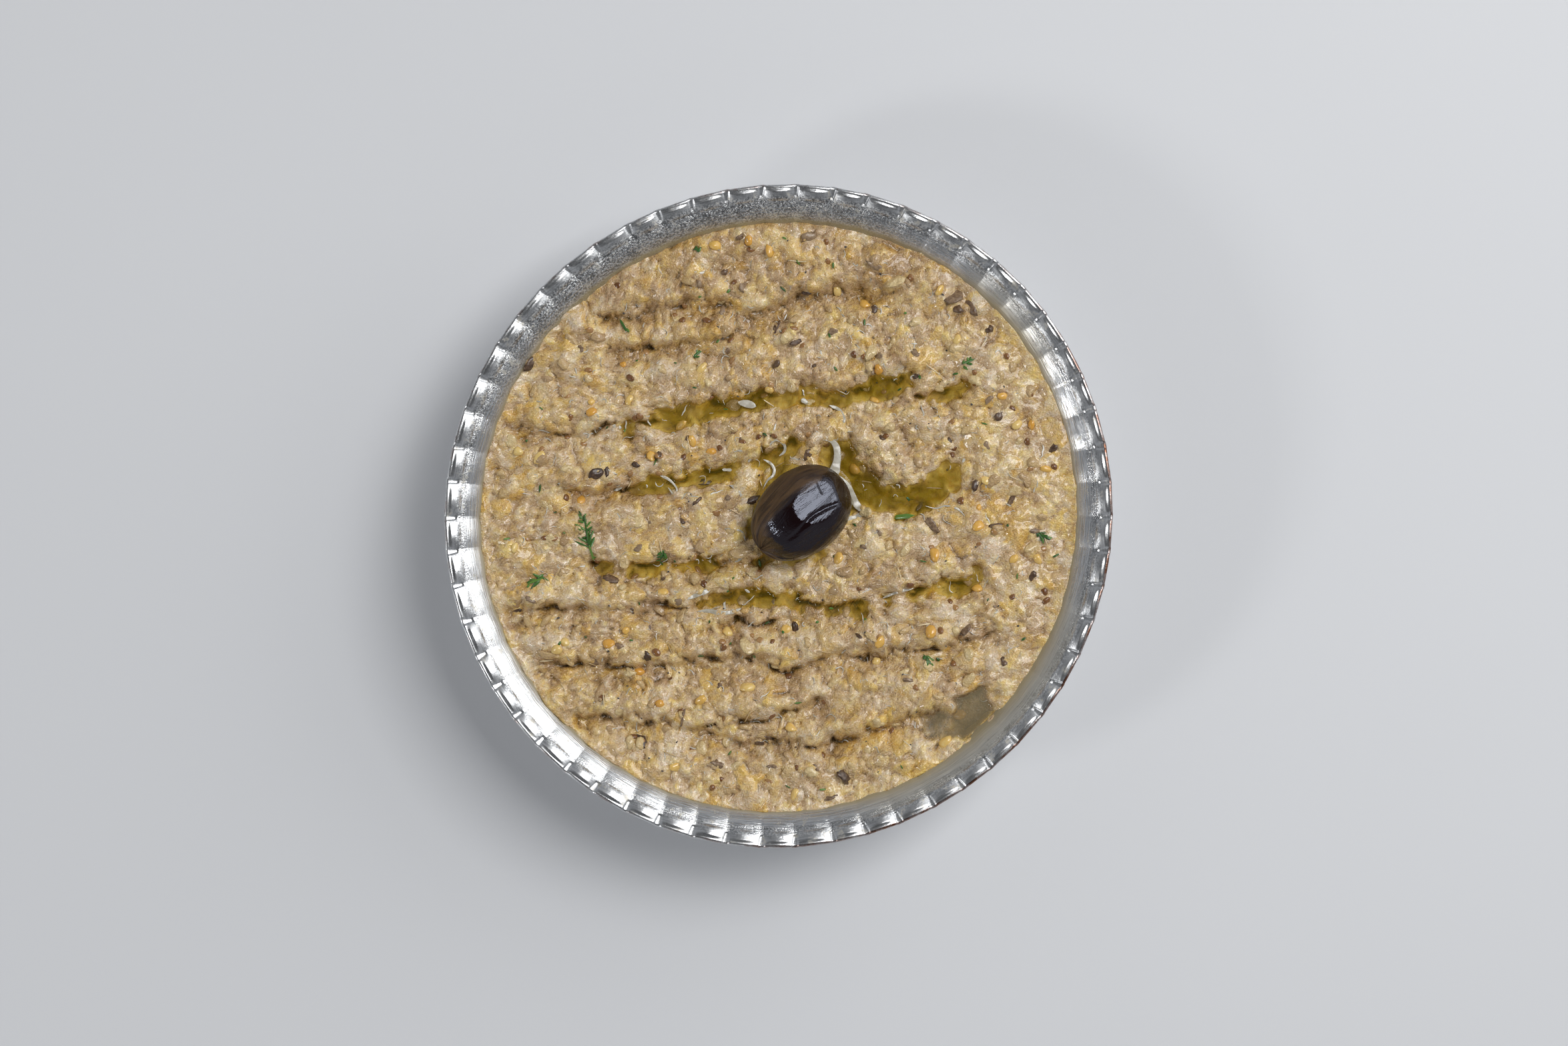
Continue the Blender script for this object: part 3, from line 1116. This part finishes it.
# %% Ribbons of oil at the edges of the pools
WINDOW_AZIMUTH = 35  # degrees: where the light called window will hang
WINDOW_ELEVATION = 61
EDGES = [
    # (line, half width at its start, half width at its end)
    ([(9.8, 17.2), (11.8, 17), (13.0, 15.5), (13.2, 13.2), (12.7, 10.8), (12.2, 8.6)], 0.20, 1.55),
    ([(12.0, 9.8), (14.4, 8.0), (15.6, 6.4), (16.4, 4.6), (17.4, 2.8), (19.2, 0.6)], 0.40, 1.05),
    ([(19.0, 0.5), (17.0, -0.3), (14.4, -0.7)], 0.55, 0.45),
    ([(-9.3, 25.7), (-7.2, 25.4), (-5.2, 24.8)], 0.7, 0.8),
    ([(5.0, 26.5), (6.5, 25.5)], 0.50, 0.5),
    ([(11.3, 25.1), (13.6, 24.1), (14.6, 22.4), (14.7, 21.0)], 0.30, 0.45),
    ([(-0.7, 21.0), (-1.2, 19.3)], 0.20, 0.2),
    ([(-2.4, 15.5), (-1.4, 16.9), (-0.2, 17.2), (1.2, 16.0), (1.2, 14.6), (0.0, 13.6)], 0.2, 0.42),
    ([(-3.6, 12.8), (-1.9, 11.9), (-1.1, 10.5), (-1.4, 9.1), (-2.6, 8.1), (-3.7, 6.0)], 0.42, 0.16),
    ([(-12.9, 10.5), (-10.7, 10.4)], 0.36, 0.36),
    ([(-7.1, 12.2), (-6.2, 13.1)], 0.22, 0.22),
    ([(-11.2, 7.0), (-9.6, 6.2), (-8.6, 4.6), (-8.3, 3.4)], 0.35, 0.3),
    ([(-12.4, -2.9), (-10.2, -3.1), (-8.4, -3.6), (-7.6, -5.8)], 0.28, 0.14),
    ([(-10.0, -10.4), (-8.2, -9.3)], 0.35, 0.35),
    ([(33.0, 2.3), (35.5, 1.7), (37.8, 2.3), (40.5, 1.5), (42.2, -0.3)], 0.15, 0.2),
    ([(41.5, 12.1), (42.4, 14.0)], 0.26, 0.26),
    ([(-37.8, 20.5), (-35.6, 19.9)], 0.45, 0.45),
    ([(-44.7, 18.8), (-42.2, 18.7)], 0.28, 0.28),
    ([(-56.2, 19.1), (-53.9, 19.4), (-51.9, 18.8)], 0.16, 0.16),
    ([(-27.2, 9.3), (-24.9, 8.2), (-23.2, 6.2), (-23.8, 4.9), (-25.2, 6.5)], 0.30, 0.2),
    ([(-37.6, 5.6), (-35.4, 6.7)], 0.30, 0.3),
    ([(-21.2, -18.9), (-18.6, -17.9), (-15.6, -16.7)], 0.22, 0.75),
    ([(-18.6, -21.6), (-16.0, -21.5), (-13.6, -21.9), (-11.0, -21.8), (-8.6, -21.0)], 0.35, 0.55),
    ([(-12.2, -21.4), (-12.5, -19.5)], 0.35, 0.2),
    ([(-7.8, -16.6), (-6.6, -17.4)], 0.35, 0.2),
    ([(23.5, -18.6), (27.5, -17.0), (30.5, -16.4)], 0.34, 0.3),
]


def between(low, high, share):
    """low where share is 0, high where it is 1."""
    return low + (high - low) * share


def smooth_line(line, spacing=0.3):
    """Points along a curve through the given points: four of them at a time, weighted by cubics."""
    line = np.array(line, float)
    padded = np.concatenate([[2 * line[0] - line[1]], line, [2 * line[-1] - line[-2]]])
    pieces = []
    for a, b, c, d in zip(padded, padded[1:], padded[2:], padded[3:]):
        t = np.linspace(0, 1, max(2, int(np.hypot(*(c - b)) / spacing)), endpoint=False)[:, None]
        curve = 2 * a - 5 * b + 4 * c - d + t * (3 * (b - c) + d - a)
        pieces.append(b + 0.5 * t * (c - a + t * curve))
    return np.concatenate([*pieces, line[-1:]])


def small_edges(chance=0.75):
    """Short arcs, one to a cell: a centre, a radius and a sweep for each, from fixed numbers."""
    i, j = (values.ravel() for values in np.meshgrid(np.arange(-14, 15), np.arange(-14, 15)))
    x = (i + lattice(i, j, 501)) * 4.6
    y = (j + lattice(i, j, 502)) * 4.6
    keep = (lattice(i, j, 503) < chance) & (np.hypot(x, y) < 62) & (olive_floor(x, y)[1] > 1.2)
    i, j, x, y = i[keep], j[keep], x[keep], y[keep]
    radius = 0.7 + 1.5 * lattice(i, j, 504) ** 2
    start = TAU * lattice(i, j, 505)
    sweep = 0.8 + 1.6 * lattice(i, j, 506)
    half = 0.09 + 0.13 * lattice(i, j, 507) ** 2
    turn = start[:, None] + sweep[:, None] * np.linspace(0, 1, 5)
    wave = radius[:, None] * (1 + 0.25 * np.sin(3 * turn + 5 * start[:, None]))
    lines = np.stack([x[:, None] + wave * np.cos(turn), y[:, None] + wave * np.sin(turn)], -1)
    return [(line, width * 0.5, width) for line, width in zip(lines, half)]


def make_edges(finish, lines):
    """Flat rings of ten points along each line: seven on the leaning plane, and three under the dip."""
    lean = math.tan(math.radians(90 - WINDOW_ELEVATION) / 2)
    aim = np.array([math.cos(math.radians(WINDOW_AZIMUTH)), math.sin(math.radians(WINDOW_AZIMUTH))])
    across = np.array([-1, -0.93, -0.7, 0, 0.7, 0.93, 1, 0.8, 0, -0.8])
    drop = np.array([0.06, 0.01, 0, 0, 0, 0.01, 0.06, 0.45, 0.45, 0.45])
    size = len(across)
    middles = [smooth_line(line) for line, _, _ in lines]
    every = np.concatenate(middles)
    ground = np.maximum(dip_surface(*every.T)[0], oil_level(*every.T))
    grounds = np.split(ground, np.cumsum([len(middle) for middle in middles])[:-1])
    points, quads, caps, start = [], [], [], 0
    for (_, first, last), middle, ground in zip(lines, middles, grounds):
        n = len(middle)
        ahead = np.gradient(middle, axis=0)
        ahead = ahead / np.linalg.norm(ahead, axis=1, keepdims=True)
        left = np.stack([-ahead[:, 1], ahead[:, 0]], 1)
        share = np.linspace(0, 1, n)
        taper = np.clip(np.minimum(share, 1 - share) / 0.18 + 0.02, 0, 1) ** 0.6
        width = between(first, last, share) * taper
        width = width * (1 + 0.18 * np.sin(7 * share + start))
        offset = left[:, None] * (width[:, None] * across)[..., None]
        reach = min(4, n // 2)
        weights = np.ones(2 * reach + 1) / (2 * reach + 1)
        ground = np.convolve(np.pad(ground, reach, mode="edge"), weights, "valid")
        height = ground[:, None] + 0.10 - 0.5 * lean * (offset @ aim) - drop
        points.append(np.concatenate([middle[:, None] + offset, height[..., None]], 2).reshape(-1, 3))
        ring = np.arange(size)[None, :]
        quads.append(sheet_faces(n, size, round_columns=True) + start)
        caps += [start + ring, start + (n - 1) * size + ring[:, ::-1]]
        start += n * size
    groups = [np.concatenate(quads), np.concatenate(caps)]
    return make_piece("oil_edges", np.concatenate(points), groups, finish)


def edge_finish():
    edge = Finish("oil_edge", Roughness=0.12, Specular_IOR_Level=0.6)
    haze = edge.noise(1.2, detail=2.0)
    edge.feed(Base_Color=edge.mix(haze.ramp(0.3, 0.7), (0.44, 0.40, 0.31), (0.68, 0.65, 0.56)))
    return edge.material


edges = make_edges(edge_finish(), EDGES + small_edges())

# %% [markdown]
# ## What is in the dip
#
# The seeds, the golden kernels, the soft lumps, the threads and the herbs differ in size and
# colour, but each is a rounded bit that lies on the dip. So one function makes them all: a coarse
# sphere for each bit, stretched to its size, made uneven, laid along the slope and pressed in.
# Instances of one mesh would be lighter, but then no two bits could differ in shape.

# %% Strewn bits
def ball(rings=6, around=10):
    """Points and faces of a coarse sphere of radius 1: rings of sines and cosines between two poles."""
    lift = np.linspace(-math.pi / 2, math.pi / 2, rings + 1)[1:-1, None]
    turn = (np.arange(around) * TAU / around)[None, :]
    out, up = np.cos(lift), np.sin(lift)
    shell = np.stack([out * np.cos(turn), out * np.sin(turn), up + 0 * turn], -1)
    points = np.concatenate([shell.reshape(-1, 3), [[0, 0, -1], [0, 0, 1]]])
    body = (rings - 1) * around
    return points, capped_faces(rings - 1, around, body, body + 1)


def lie(x, y):
    """The dip's height at x, y and its unit normal, from heights a little way off in both directions."""
    reach = 0.45
    height, _ = dip_surface(x, y)
    slope_x = (dip_surface(x + reach, y)[0] - dip_surface(x - reach, y)[0]) / (2 * reach)
    slope_y = (dip_surface(x, y + reach)[0] - dip_surface(x, y - reach)[0]) / (2 * reach)
    normal = np.stack([-slope_x, -slope_y, np.ones_like(x)], 1)
    return height, normal / np.linalg.norm(normal, axis=1, keepdims=True)


def bits(name, x, y, turn, sizes, finish, sink, rough=0.15, seed=1, heights=None, shape=(6, 10)):
    """One mesh of many bits: sizes are half axes in millimetres, sink is the share pressed in."""
    points, faces = ball(*shape)
    height, up = lie(x, y)
    if heights is not None:
        height = np.maximum(height, heights)
    heading = np.stack([np.cos(turn), np.sin(turn), 0 * turn], 1)
    along = heading - (heading * up).sum(1, keepdims=True) * up
    along = along / np.linalg.norm(along, axis=1, keepdims=True)
    across = np.cross(up, along)
    n = np.arange(len(x))
    uneven = 1 + 0 * points[None, :, 0]
    for k, wave in enumerate(((2.1, 1.3, 0.4), (-1.2, 2.4, 1.7), (3.3, -1.9, 2.3), (1.1, 3.7, -2.9))):
        phase = TAU * lattice(n, n * 0 + k, seed)[:, None]
        uneven = uneven + rough * np.cos((points @ np.array(wave))[None, :] + phase) / (1 + 0.5 * k)
    local = points[None] * sizes[:, None, :] * uneven[..., None]
    local[..., 2] += (sizes[:, 2] * (1 - 2 * sink))[:, None]
    placed = np.stack([x, y, height], 1)[:, None]
    for axis, direction in enumerate((along, across, up)):
        placed = placed + local[..., axis:axis + 1] * direction[:, None]
    count = len(points)
    offset = (n * count)[:, None, None]
    groups = [(group[None] + offset).reshape(-1, group.shape[1]) for group in faces]
    number = np.repeat(lattice(n, n * 0 + 9, seed), count)
    return make_piece(name, placed.reshape(-1, 3), groups, finish, {"number": number})


def strew(cell, seed, chance, reach=63.5):
    """Places of bits, one to a square cell: x, y, a turn and three numbers from 0 to 1."""
    cells = np.arange(-int(reach / cell) - 1, int(reach / cell) + 2)
    i, j = (values.ravel() for values in np.meshgrid(cells, cells))
    x = (i + 0.1 + 0.8 * lattice(i, j, seed)) * cell
    y = (j + 0.1 + 0.8 * lattice(i, j, seed + 1)) * cell
    odds = chance(x, y) if callable(chance) else chance
    _, q = olive_floor(x, y)
    keep = (lattice(i, j, seed + 2) < odds) & (np.hypot(x, y) < reach) & (q > 1.12)
    i, j, x, y = i[keep], j[keep], x[keep], y[keep]
    return x, y, TAU * lattice(i, j, seed + 3), [lattice(i, j, seed + k) for k in (4, 5, 6)]

# %% [markdown]
# Aubergine seeds are flat, brown and about two millimetres across. They sit in the jelly round
# the core, so they turn up in clusters. Chance is therefore high where a slow noise is high.
# The largest flakes of skin and a few kernels are set by hand, from the two tables.

# %% Seeds, flakes of skin and ground pepper
def bit_finish(name, colours, roughness=0.3, coat=0.7, mottle=0.35, size=0.6, wrinkle=0.10):
    """A wet finish whose colour runs through three colours with each bit's number and a fine noise."""
    made = Finish(name, Coat_Weight=coat, Coat_Roughness=0.06, Roughness=roughness)
    tone = (made.attribute("number") + (made.noise(size, detail=2.0) - 0.5) * 2 * mottle).clamped()
    stops = list(zip((0.0, 0.5, 1.0), colours))
    colour = made.node("ShaderNodeValToRGB", {"stops": stops}, {0: tone})
    made.feed(Base_Color=colour, Normal=made.bump(made.noise(0.5, detail=2.0), wrinkle))
    return made.material


# larger bits set by hand: (x, y, heading in degrees, half length, half width)
PLACED_FLAKES = [
    (6.2, 62.9, 25, 1.8, 0.9), (-9.0, 62.9, 60, 0.9, 0.6), (22.3, 56.1, 150, 2.1, 0.8),
    (-12.1, 55.2, 100, 0.8, 0.7), (39.6, 50.1, 40, 2.2, 1.6), (42.6, 48.2, 130, 2.4, 1.3),
    (40.4, 47.2, 170, 1.9, 1.1), (-45.0, 38.1, 110, 1.2, 0.7), (-56.1, 34.7, 20, 1.8, 1.2),
    (-0.9, 34.1, 0, 1.1, 0.9), (47.7, 42.4, 60, 1.0, 0.8), (6.2, 50.5, 30, 1.2, 0.7),
    (-41.0, 9.6, 20, 1.7, 1.2), (-38.9, 10.2, 80, 1.2, 0.9), (-13.6, -56.1, 165, 2.4, 1.0),
    (8.7, -57.3, 140, 1.2, 0.5), (-31.3, -50.2, 120, 2.0, 1.5), (-36.3, -29.4, 30, 0.9, 0.8),
    (3.7, -25.4, 110, 1.4, 0.8), (42.2, -25.7, 60, 1.7, 1.0), (-2.8, -50.2, 10, 1.4, 0.8),
    (50.8, -32.8, 80, 1.2, 0.8), (11.2, -64.0, 10, 1.8, 0.6), (14.9, -59.2, 160, 2.0, 1.2),
    (-29.8, -31.6, 150, 1.5, 1.2), (62.0, 15.7, 70, 1.3, 0.7), (49.7, 22.8, 40, 1.2, 0.9),
]
PLACED_KERNELS = [
    (-7.4, -39.0, 0, 1.9, 1.5), (-50.2, -30.2, 90, 1.3, 1.3), (-31.6, -35.3, 0, 1.3, 1.0),
    (37.5, -51.4, 40, 2.0, 1.3), (-6.8, 62.3, 100, 1.3, 1.0), (36.3, 51.1, 50, 1.5, 0.9),
    (-14.6, 61.0, 0, 1.6, 1.2),
]


def strewn(name, places, limits, finish, power=1, placed=None, thick=0.0, **how):
    """Bits with each half axis between two limits, the first by a power, then those set by hand."""
    x, y, turn, (share, *others) = places
    shares = (share ** power, *others)
    sizes = np.stack([between(*ends, part) for ends, part in zip(limits, shares)], 1)
    if placed:
        place_x, place_y, heading, half_length, half_width = np.array(placed, float).T
        placed_sizes = np.stack([half_length, half_width, thick + 0 * place_x], 1)
        x, y = np.append(x, place_x), np.append(y, place_y)
        turn, sizes = np.append(turn, np.radians(heading)), np.concatenate([sizes, placed_sizes])
    return bits(name, x, y, turn, sizes, finish, **how)


def clusters(seed, size=7.0, low=-0.1, high=0.55, most=0.55):
    """A chance that is high in patches: a step of noise, times most."""
    return lambda x, y: 0.02 + most * step(low, high, swells(x, y, size, seed))


strewn(
    "aubergine_seeds", strew(2.9, 201, clusters(211, most=0.20)),
    [(0.65, 1.1), (0.6, 0.9), (0.30, 0.5)],
    bit_finish(
        "aubergine_seed", ((0.15, 0.055, 0.014), (0.29, 0.13, 0.04), (0.48, 0.27, 0.10)),
        roughness=0.2,
    ),
    sink=0.55, rough=0.14, seed=221,
)
strewn(
    "charred_skin", strew(5.0, 231, clusters(241, 9.0, most=0.34)),
    [(0.7, 1.9), (0.4, 1.0), (0.14, 0.28)],
    bit_finish(
        "charred_skin", ((0.06, 0.032, 0.018), (0.17, 0.10, 0.055), (0.34, 0.235, 0.14)),
        roughness=0.35, coat=0.3, mottle=0.7,
    ),
    power=2, placed=PLACED_FLAKES, thick=0.4, sink=0.60, rough=0.34, seed=251,
)
strewn(
    "ground_pepper", strew(8.0, 261, 0.3),
    [(0.16, 0.34), (0.14, 0.28), (0.12, 0.22)],
    bit_finish("ground_pepper", ((0.012, 0.012, 0.016), (0.03, 0.03, 0.04), (0.08, 0.07, 0.06))),
    sink=0.2, seed=271, shape=(4, 7),
)

# %% [markdown]
# Golden kernels are seeds that kept their husk. They are plumper than the brown ones and shine.
# The pale lumps and threads are bits of flesh that the fork missed: they stand out of the mash
# with edges that the dip's own grid is too coarse for.

# %% Kernels, lumps and threads
strewn(
    "golden_kernels", strew(6.2, 301, clusters(311, 12.0, most=0.38)),
    [(0.8, 1.8), (0.75, 1.35), (0.5, 0.9)],
    bit_finish(
        "golden_kernel", ((0.78, 0.38, 0.05), (0.85, 0.51, 0.11), (0.88, 0.65, 0.24)),
        roughness=0.22, coat=0.9,
    ),
    placed=PLACED_KERNELS, thick=0.9, sink=0.42, seed=321,
)
lumps = strewn(
    "aubergine_lumps", strew(4.6, 331, 0.34),
    [(0.9, 2.2), (0.8, 1.5), (0.4, 0.8)],
    bit_finish(
        "aubergine_lump", ((0.52, 0.34, 0.17), (0.66, 0.46, 0.21), (0.82, 0.64, 0.33)),
        roughness=0.15, coat=0.9, mottle=0.45, size=1.1, wrinkle=0.5,
    ),
    power=1.5, sink=0.68, rough=0.30, seed=341, shape=(8, 13),
)
threads = strewn(
    "aubergine_threads", strew(4.6, 361, 0.14),
    [(0.9, 2.6), (0.11, 0.2), (0.12, 0.18)],
    bit_finish(
        "aubergine_thread", ((0.55, 0.37, 0.17), (0.68, 0.49, 0.24), (0.82, 0.68, 0.42)),
        roughness=0.2, coat=1.0,
    ),
    sink=0.3, rough=0.12, seed=371, shape=(8, 6),
)

# %% [markdown]
# The herb is dill, chopped, with a few whole sprigs. A sprig is strokes: a stem, and leaflets
# that leave it on both sides at a sharp angle. Each stroke is one long thin bit.

# %% Dill
def sprig(x, y, heading, length, leaves, leaf):
    """Strokes (x, y, turn, half length, half width): a stem, and leaflets shorter towards the tip."""
    h = math.radians(heading)
    strokes = [(x, y, h, length / 2, 0.34)]
    k = np.arange(2 * leaves)
    seed = int(abs(10 * x))
    share = (k + lattice(k, k, seed)) / (2 * leaves + 1)
    reach = leaf * (1 - 0.4 * share) * (0.55 + 0.75 * lattice(k, k, seed + 1))
    turn = h + (2 * (k % 2) - 1) * np.radians(16 + 42 * lattice(k, k, seed + 2))
    sx = x + math.cos(h) * length * (share - 0.5) + np.cos(turn) * reach / 2
    sy = y + math.sin(h) * length * (share - 0.5) + np.sin(turn) * reach / 2
    strokes += list(zip(sx, sy, turn, reach / 2, 0.22 + 0.16 * lattice(k, k, seed + 3)))
    return strokes


# (x, y, heading in degrees, length, pairs of leaflets, length of a leaflet)
SPRIGS = [
    (-43.6, -3.6, 104, 9.0, 8, 3.4), (-42.4, -8.2, 94, 5.0, 1, 1.6),
    (-55.2, -14.9, 200, 4.2, 3, 2.6), (-54.0, -13.9, 330, 4.2, 1, 2.2),
    (-26.4, -8.8, 250, 2.6, 4, 2.2), (33.5, -32.6, 300, 3.2, 3, 2.2), (42.6, 34.8, 30, 3.4, 3, 1.6),
    (59.3, -4.4, 315, 2.6, 4, 2.2), (-18.5, 36.8, 45, 3.2, 1, 1.5), (-35.2, 43.0, 300, 4.6, 0, 0),
    (-18.5, 60.2, 120, 2.2, 1, 1.4),
]
dill = [stroke for place in SPRIGS for stroke in sprig(*place)]
stem = [(27.9, -0.2, math.radians(4), 3.1, 0.62)]
x, y, turn, (a, b, _) = strew(7.5, 401, 0.28)
chopped = list(zip(x, y, turn, between(0.35, 1.1, a ** 1.5), between(0.16, 0.34, b)))
strokes = np.array(dill + stem + chopped)
bits(
    "chopped_dill", strokes[:, 0], strokes[:, 1], strokes[:, 2],
    np.stack([strokes[:, 3], strokes[:, 4], 0.16 + 0.3 * np.clip(strokes[:, 4] - 0.4, 0, 1)], 1),
    bit_finish(
        "dill", ((0.020, 0.075, 0.008), (0.045, 0.15, 0.015), (0.13, 0.27, 0.04)),
        roughness=0.35, coat=0.5,
    ),
    sink=-0.3, rough=0.08, seed=411, heights=oil_level(strokes[:, 0], strokes[:, 1]), shape=(8, 6),
)

# %% [markdown]
# ## The floor, the light and the camera
#
# The bowl stands on a plain pale floor. Its colour drifts a little over a hand's breadth, so that
# it isn't one flat value.

# %% The floor
def make_floor():
    """A square of six metres just under the bowl's foot."""
    floor = Finish("plain_pale_floor", Roughness=0.6)
    shade = floor.noise(180, detail=2.0)
    floor.feed(Base_Color=floor.mix(shade, (0.78, 0.79, 0.81), (0.82, 0.83, 0.85)))
    bpy.ops.mesh.primitive_plane_add(size=6.0, location=(0, 0, -0.0001))
    plane = bpy.context.object
    plane.name = "plain_pale_floor"
    plane.data.materials.append(floor.material)


make_floor()

# %% [markdown]
# Tin is a mirror, so the lights are chosen for what the rim shows: a window high on one side, a
# bright wall low behind it, and a small window opposite. All are broad, which keeps the shadows
# soft. Each is an area light on a sphere round the bowl, given by its azimuth and its elevation.

# %% Lights
def softbox(name, azimuth, elevation, distance, width, height, power):
    """An area light that hangs at that azimuth and elevation, in degrees, and faces the bowl."""
    light = bpy.data.lights.new(name, "AREA")
    light.shape = "RECTANGLE"
    light.size, light.size_y = width, height
    light.energy = power
    lamp = bpy.data.objects.new(name, light)
    turn, lift = math.radians(azimuth), math.radians(elevation)
    aside = distance * math.cos(lift)
    lamp.location = (aside * math.cos(turn), aside * math.sin(turn), distance * math.sin(lift))
    lamp.rotation_euler = (math.pi / 2 - lift, 0, turn + math.pi / 2)
    bpy.context.scene.collection.objects.link(lamp)


softbox("window", WINDOW_AZIMUTH, WINDOW_ELEVATION, 1.3, 0.52, 0.66, 7.9)
softbox("small_window", 205, 34, 1.3, 0.17, 0.22, 2.3)
softbox("bright_wall", 32, 27, 1.5, 1.6, 0.85, 5.0)

# %% [markdown]
# The room is pale all round, but overhead it is dark, so a level wet surface mirrors next to
# nothing and the oil looks deep. The background's strength therefore falls with the height of the
# direction: full up to z = 0.62, about 38 degrees, and nearly none above 0.86, about 60 degrees.

# %% The room
def make_room():
    """A world whose strength follows the z of the direction looked in."""
    world = bpy.data.worlds.new("room")
    world.use_nodes = True
    nodes, links = world.node_tree.nodes, world.node_tree.links
    aim = nodes.new("ShaderNodeTexCoord")
    upright = nodes.new("ShaderNodeSeparateXYZ")
    shade = nodes.new("ShaderNodeMapRange")
    for label, value in (("From Min", 0.62), ("From Max", 0.86), ("To Min", 0.36), ("To Max", 0.055)):
        shade.inputs[label].default_value = value
    links.new(aim.outputs["Generated"], upright.inputs[0])
    links.new(upright.outputs["Z"], shade.inputs["Value"])
    links.new(shade.outputs["Result"], nodes["Background"].inputs["Strength"])
    nodes["Background"].inputs["Color"].default_value = (0.92, 0.95, 1.0, 1.0)
    bpy.context.scene.world = world


make_room()

# %% [markdown]
# The camera looks straight down, with a long lens, so that the rim is seen as a circle and the
# walls hardly at all.

# %% The camera
lens = bpy.data.cameras.new("camera")
lens.lens = 85
lens.sensor_width = 36
lens.clip_end = 10
camera = bpy.data.objects.new("camera", lens)
camera.location = (1.1 * MM, -1.6 * MM, 865 * MM)
bpy.context.scene.collection.objects.link(camera)
bpy.context.scene.camera = camera
bpy.context.scene.view_settings.view_transform = "Standard"
